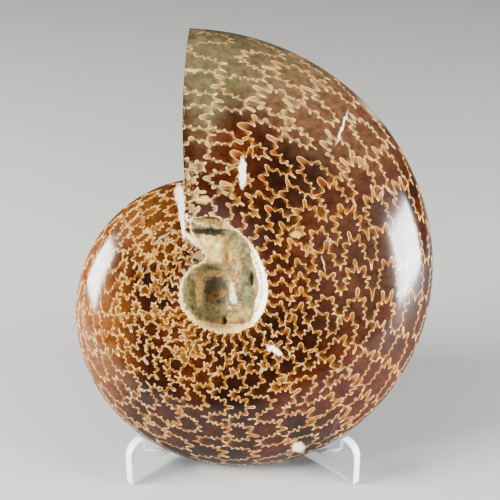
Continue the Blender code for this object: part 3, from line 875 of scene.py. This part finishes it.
def shell_material():
    """Polished shell: dark mottled stone, glowing leaves, pale sutures and the photographed marks, one of
    them painted light over a spot of shade.
    """
    material, tree, shader = new_material("polished_shell")
    plain = plan_place(tree)
    shaken = shaken_place(tree, 1.1, 420.0)
    suture, shelter, inward = (attribute(tree, name) for name in ("suture", "shelter", "inward"))
    away = math_node(tree, "ABSOLUTE", suture)
    # nest is high inside a leaf's narrow tips and low in the open
    side = math_node(tree, "MINIMUM", math_node(tree, "MULTIPLY", suture, 8.0), 1.0)
    open_side = math_node(tree, "MULTIPLY", math_node(tree, "MAXIMUM", side, -1.0), shelter)
    nest = math_node(tree, "SUBTRACT", math_node(tree, "MULTIPLY", away, 0.42, clamp=True), open_side)
    # the body: mottled dark red and brown, with broad tints
    clouds = noise_value(tree, 70.0, 5.0, 0.55, 0.6)
    colour = paint(tree, ramp(tree, clouds, *BODY), plain, SHELL_TINTS)
    grain = noise_value(tree, 420.0, 4.0, 0.6)
    colour = mix(tree, 1.0, colour, ramp(tree, grain, *MOTTLE), "MULTIPLY")
    # the leaves glow orange inside, chalky green beside the cut and at the top
    chalk = math_node(tree, "MAXIMUM", *(patch(tree, plain, *place) for place in CHALKY))
    glow_colour = mix(tree, between(tree, clouds, 0.35, 0.65), GLOW_RED, GLOW_AMBER)
    glow_colour = mix(tree, math_node(tree, "MULTIPLY", chalk, 0.6), glow_colour, GLOW_CHALK)
    fading = math_node(tree, "SUBTRACT", 1.0, between(tree, away, *GLOW_REACH))
    glow = math_node(tree, "MULTIPLY", between(tree, nest, -0.12, 0.30), fading)
    colour = mix(tree, glow, colour, glow_colour)
    # the suture itself, brightest at the leaves' tips and dim down their stems
    bright = math_node(tree, "MULTIPLY", between(tree, nest, -0.2, 0.32), between(tree, grain, 0.3, 0.6))
    line = math_node(tree, "SUBTRACT", 1.0, between(tree, away, *SUTURE_WIDTH))
    line = math_node(tree, "MULTIPLY", line, math_node(tree, "MULTIPLY_ADD", bright, 0.55, 0.45))
    colour = mix(tree, line, colour, mix(tree, bright, SUTURE_STEM, SUTURE_TIP))
    colour = paint(tree, colour, shaken, SHELL_MARKS_AND_LIGHT)
    speckle = between(tree, noise_value(tree, 900.0, 2.0), 0.42, 0.55)
    freckled = math_node(tree, "MULTIPLY", patch(tree, shaken, *FRECKLED), speckle)
    colour = mix(tree, freckled, colour, FRECKLES)
    # bare shell frays out along the umbilicus
    fray = math_node(tree, "MULTIPLY_ADD", noise_value(tree, 800.0, 3.0, 0.6), 3.2, -1.5)
    fringe = math_node(tree, "GREATER_THAN", inward, math_node(tree, "MULTIPLY", fray, -1.0))
    near = math_node(tree, "GREATER_THAN", inward, FRAYED_REACH)
    colour = mix(tree, math_node(tree, "MULTIPLY", fringe, near), colour, FRAYED)
    tree.links.new(colour, shader.inputs["Base Color"])
    vary_roughness(tree, shader, noise_value(tree, 180.0, 3.0), 0.0, 1.0, 0.22, 0.38)
    set_inputs(shader, Coat_Weight=1.0, Coat_Roughness=0.15, Coat_IOR=1.42, Specular_IOR_Level=0.0)
    return material


# The umbilicus: tints of its filling, wall and inner whorl, and painted shade in its upper groove and in a
# dimple
UMBILICUS_TINTS_AND_SHADE = (
    ((-0.4, 16.2), (7.6, 4.4), -12.0, 0.12, 0.95, (0.5, 0.330, 0.090)),
    ((-2.0, 17.8), (3.8, 0.8), -24.0, 0.3, 0.8, (0.720, 0.550, 0.194)),
    ((0.8, 14.0), (2.6, 2.6), 40.0, 0.25, 0.6, (0.6, 0.440, 0.144)),
    ((2.4, 13.4), (1.2, 3.4), 22.0, 0.3, 0.85, (0.360, 0.171, 0.029)),
    ((5.9, 16.6), (2.0, 4.4), 24.0, 0.25, 0.9, (0.264, 0.217, 0.068)),
    ((6.6, 10.2), (1.3, 5.6), 6.0, 0.25, 0.9, (0.4, 0.242, 0.061)),
    ((5.6, 7.0), (0.6, 2.6), 14.0, 0.3, 0.8, (0.240, 0.075, 0.025)),
    ((9.9, 3.6), (2.1, 8.6), 6.0, 0.18, 0.95, (0.132, 0.123, 0.041)),
    ((9.4, 8.6), (1.2, 1.6), 30.0, 0.3, 0.8, (0.054, 0.050, 0.019)),
    ((10.0, -0.6), (1.1, 1.9), -20.0, 0.3, 0.8, (0.070, 0.063, 0.022)),
    # painted shade: near black in the dimple dug at the same place
    ((11.2, 6.0), (0.7, 2.4), 0.0, 0.3, 0.95, (0.016, 0.014, 0.007)),
    ((8.9, -5.6), (1.8, 2.2), 0.0, 0.3, 0.9, (0.360, 0.242, 0.065)),
    ((-2.6, 9.3), (5.4, 1.3), 4.0, 0.25, 0.9, (0.155, 0.120, 0.038)),
    ((-9.0, -0.6), (2.3, 6.4), 0.0, 0.2, 0.95, (0.132, 0.108, 0.030)),
    ((-5.9, 2.2), (1.2, 4.4), -6.0, 0.22, 0.95, (0.340, 0.193, 0.040)),
    ((-1.6, 7.2), (4.6, 0.8), 6.0, 0.25, 0.9, (0.330, 0.204, 0.047)),
    ((-0.6, 1.2), (4.0, 5.0), 0.0, 0.14, 0.97, (0.040, 0.033, 0.009)),
    ((-1.2, -0.8), (2.4, 1.6), 20.0, 0.4, 0.7, (0.202, 0.105, 0.022)),
    ((1.6, 0.6), (1.2, 1.6), 0.0, 0.4, 0.7, (0.248, 0.143, 0.043)),
    ((0.3, -2.4), (0.8, 0.7), 0.0, 0.3, 0.9, (0.012, 0.010, 0.004)),
    ((-2.2, -5.4), (6.4, 2.5), 4.0, 0.2, 0.9, (0.139, 0.123, 0.041)),
    ((4.9, 3.0), (0.9, 2.6), 10.0, 0.2, 0.95, (0.720, 0.550, 0.194)),
    ((5.3, -0.6), (1.0, 1.9), 8.0, 0.25, 0.95, (0.880, 0.780, 0.600)),
    ((4.0, -4.2), (0.9, 0.5), 30.0, 0.3, 0.8, (0.7, 0.528, 0.180)),
    ((5.0, -7.2), (2.3, 1.6), 20.0, 0.3, 0.85, (0.360, 0.242, 0.065)),
    # painted shade: a dark olive band in the groove under the upper wall, where the wall's shadow falls;
    # the grey-green band after it is the paler right end of that painted shade
    ((-2.6, 21.7), (7.0, 1.15), -4.0, 0.2, 0.95, (0.018, 0.015, 0.006)),
    ((5.6, 20.2), (4.0, 1.2), -28.0, 0.3, 0.9, (0.186, 0.165, 0.061)),
    ((-0.5, 24.4), (8.4, 1.5), -10.0, 0.15, 1.0, (0.660, 0.473, 0.158)),
    ((2.5, -9.0), (0.5, 1.9), 14.0, 0.5, 0.8, (0.046, 0.038, 0.014)),
)
SAND = ((0.35, (0.085, 0.065, 0.022)), (0.55, (0.22, 0.15, 0.055)), (0.68, (0.42, 0.30, 0.14)))
SPECKS = ((0.36, (0.30, 0.26, 0.22)), (0.5, (0.95, 0.95, 0.95)), (0.68, (1.35, 1.3, 1.2)))
THICK_EDGE = ((17.0, 3.0), (6.5, 19.0), 6.0, 0.25)     # where the broken shell's edge is thick
BROAD_EDGE = ((-3.0, -12.5), (11.0, 4.6), 8.0, 0.25)
THIN_EDGE_WIDTH = 0.7          # mm; each of the others adds to it
THICK_EDGE_WIDTH = 2.3
THIN_EDGE_COLOUR = (0.68, 0.46, 0.17)
THICK_EDGE_COLOUR = (0.98, 0.93, 0.76)
CRACK_DEPTH = 1.5              # mm in from the edge
CRACK_WIDTH = (0.05, 0.22)
CRACK_COLOUR = (0.34, 0.22, 0.10)


def filling_and_shade_material():
    """Sandy filling and inner whorl of the umbilicus, edged with broken shell, with painted shade in the
    groove under its upper wall and in a dimple.
    """
    material, tree, shader = new_material("sandy_filling_and_shade")
    plain = plan_place(tree)
    shaken = shaken_place(tree, 1.3, 560.0)
    grain = rough_grain(tree, shader, 520.0, 6.0, 0.7, 0.7, 0.0009)
    # the tints laid over the sand, painted shade in the groove and the dimple among them
    colour = paint(tree, ramp(tree, grain, *SAND), shaken, UMBILICUS_TINTS_AND_SHADE)
    # broken shell along the edge: thick, white and cracked at the right, thin elsewhere
    inward = attribute(tree, "inward")
    thick = patch(tree, plain, *THICK_EDGE)
    width = math_node(tree, "ADD", patch(tree, plain, *BROAD_EDGE), THIN_EDGE_WIDTH)
    width = math_node(tree, "MULTIPLY_ADD", thick, THICK_EDGE_WIDTH, width)
    wobble = math_node(tree, "SUBTRACT", noise_value(tree, 520.0, 4.0, 0.65), 0.5)
    broken = math_node(tree, "LESS_THAN", math_node(tree, "MULTIPLY_ADD", wobble, 2.6, inward), width)
    in_from_crack = math_node(tree, "MULTIPLY_ADD", wobble, 1.3, inward)
    off_crack = math_node(tree, "ABSOLUTE", math_node(tree, "SUBTRACT", in_from_crack, CRACK_DEPTH))
    crack = math_node(tree, "SUBTRACT", 1.0, between(tree, off_crack, *CRACK_WIDTH))
    edge_colour = mix(tree, thick, THIN_EDGE_COLOUR, THICK_EDGE_COLOUR)
    edge_colour = mix(tree, math_node(tree, "MULTIPLY", crack, thick), edge_colour, CRACK_COLOUR)
    colour = mix(tree, broken, colour, edge_colour)
    specks = ramp(tree, noise_value(tree, 950.0, 4.0, 0.65), *SPECKS)
    colour = mix(tree, 0.8, colour, specks, "MULTIPLY")
    tree.links.new(colour, shader.inputs["Base Color"])
    set_inputs(shader, Roughness=0.8)
    return material


SAWN_STONE = ((0.35, (0.030, 0.019, 0.009)), (0.52, (0.085, 0.052, 0.022)), (0.66, (0.19, 0.125, 0.060)))
SAWN_RIM = (0.46, 0.33, 0.18)
SAWN_RIM_WIDTH = (1.7, 2.2)


def sawn_stone_material():
    """The sawn aperture: a rim of shell round stone filling."""
    material, tree, shader = new_material("sawn_stone")
    grain = rough_grain(tree, shader, 160.0, 5.0, 0.6, 0.3, 0.0003)
    ragged = math_node(tree, "MULTIPLY_ADD", grain, 1.4, attribute(tree, "inward"))
    rim = math_node(tree, "SUBTRACT", 1.0, between(tree, ragged, *SAWN_RIM_WIDTH))
    colour = mix(tree, rim, ramp(tree, grain, *SAWN_STONE), SAWN_RIM)
    tree.links.new(colour, shader.inputs["Base Color"])
    set_inputs(shader, Roughness=0.55)
    return material


SHEET_IOR = 1.49


def clear_material():
    """Clear sheet, faintly scuffed."""
    material, tree, shader = new_material("clear_sheet")
    vary_roughness(tree, shader, noise_value(tree, 260.0, 5.0, 0.7), 0.4, 0.75, 0.03, 0.20)
    set_inputs(shader, Base_Color=(0.93, 0.96, 0.96, 1.0), Transmission_Weight=1.0, IOR=SHEET_IOR)
    return material


FROST = ((0.3, (0.80, 0.84, 0.84)), (0.7, (0.97, 0.98, 0.98)))


def sawn_sheet_material():
    """The sheet's cut edges: frosted, so they gather light."""
    material, tree, shader = new_material("sawn_sheet_edge")
    marks = rough_grain(tree, shader, 900.0, 3.0, 0.5, 0.4, 0.0001)
    tree.links.new(ramp(tree, marks, *FROST), shader.inputs["Base Color"])
    set_inputs(shader, Roughness=0.45, Transmission_Weight=0.35, IOR=SHEET_IOR)
    return material


# The stand

EASED_EDGE = 0.25 * MM
EASED_FROM = math.radians(50.0)
SMOOTH_TO = math.radians(30.0)


def dress_plate(name, run, sheet, sawn):
    """The plate with its long edges eased, from a copy of the solid: run is its direction."""
    bpy.ops.object.select_all(action="DESELECT")
    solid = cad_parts[name]
    plate = bpy.data.objects.new(name + "_clear", solid.data.copy())
    bpy.context.scene.collection.objects.link(plate)
    plate.data.materials.clear()
    bpy.context.view_layer.objects.active = plate
    plate.select_set(True)
    bpy.ops.object.mode_set(mode="EDIT")
    bpy.ops.mesh.select_all(action="SELECT")
    bpy.ops.mesh.remove_doubles(threshold=1e-6)
    bpy.ops.mesh.dissolve_limited(angle_limit=math.radians(0.5))
    bpy.ops.mesh.normals_make_consistent(inside=False)
    bpy.ops.object.mode_set(mode="OBJECT")
    bevel = plate.modifiers.new("eased edges", "BEVEL")
    bevel.width = EASED_EDGE
    bevel.segments = 2
    bevel.limit_method = "ANGLE"
    bevel.angle_limit = EASED_FROM
    bpy.ops.object.modifier_apply(modifier="eased edges")
    plate.data.materials.append(sheet)
    plate.data.materials.append(sawn)
    through = Vector((run[1], -run[0], 0.0)).normalized()
    for polygon in plate.data.polygons:
        polygon.material_index = int(abs(polygon.normal.dot(through)) < 0.5)
    bpy.ops.object.shade_smooth_by_angle(angle=SMOOTH_TO)
    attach(plate, "root")
    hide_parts(name)


# The setting, in metres

CAMERA_PLACE = (-0.001355, -0.37884, 0.2799)
CAMERA_TILT = math.radians(90.0 - 29.19)
CAMERA_LENS = 93.6
# place, what it is aimed at, width, height and watts
LEFT_BOX = ((-0.586, -0.164, 0.281), (-0.05, 0.0, 0.066), 0.34, 0.28, 28.0)
RIGHT_BOX = ((0.60, -0.22, 0.15), (0.05, 0.0, 0.07), 0.36, 0.24, 27.0)


def soft_box(name, place, target, width, height, watts):
    data = bpy.data.lights.new(name, "AREA")
    data.shape = "RECTANGLE"
    data.size = width
    data.size_y = height
    data.energy = watts
    light = bpy.data.objects.new(name, data)
    bpy.context.scene.collection.objects.link(light)
    light.location = place
    light.rotation_euler = (Vector(target) - Vector(place)).to_track_quat("-Z", "Y").to_euler()


def build_setting():
    """Pale floor, two soft boxes where the photo's highlights put them, and the camera."""
    bpy.ops.object.select_all(action="DESELECT")
    bpy.ops.mesh.primitive_plane_add(size=3.0, location=(0.0, 0.0, -0.1 * MM))
    floor = bpy.context.object
    floor.name = "floor"
    material, _, shader = new_material("pale_floor")
    set_inputs(shader, Base_Color=(0.34, 0.335, 0.325, 1.0), Roughness=0.9)
    floor.data.materials.append(material)
    world = bpy.data.worlds.new("studio")
    bpy.context.scene.world = world
    world.use_nodes = True
    set_inputs(world.node_tree.nodes["Background"], Color=(0.8, 0.82, 0.85, 1.0), Strength=0.12)
    soft_box("left_box", *LEFT_BOX)
    soft_box("right_box", *RIGHT_BOX)
    camera_data = bpy.data.cameras.new("camera")
    camera_data.sensor_width = 36.0
    camera_data.lens = CAMERA_LENS
    camera = bpy.data.objects.new("camera", camera_data)
    bpy.context.scene.collection.objects.link(camera)
    camera.location = CAMERA_PLACE
    camera.rotation_euler = (CAMERA_TILT, 0.0, 0.0)
    bpy.context.scene.camera = camera


shell = build_ammonite()
for material in (shell_material(), filling_and_shade_material(), sawn_stone_material()):
    shell.data.materials.append(material)
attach(shell, "root")
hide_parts("ammonite")
sheet, sawn = clear_material(), sawn_sheet_material()
dress_plate("stand_plate_left", (1.0, 1.0), sheet, sawn)
dress_plate("stand_plate_right", (-1.0, 1.0), sheet, sawn)
build_setting()
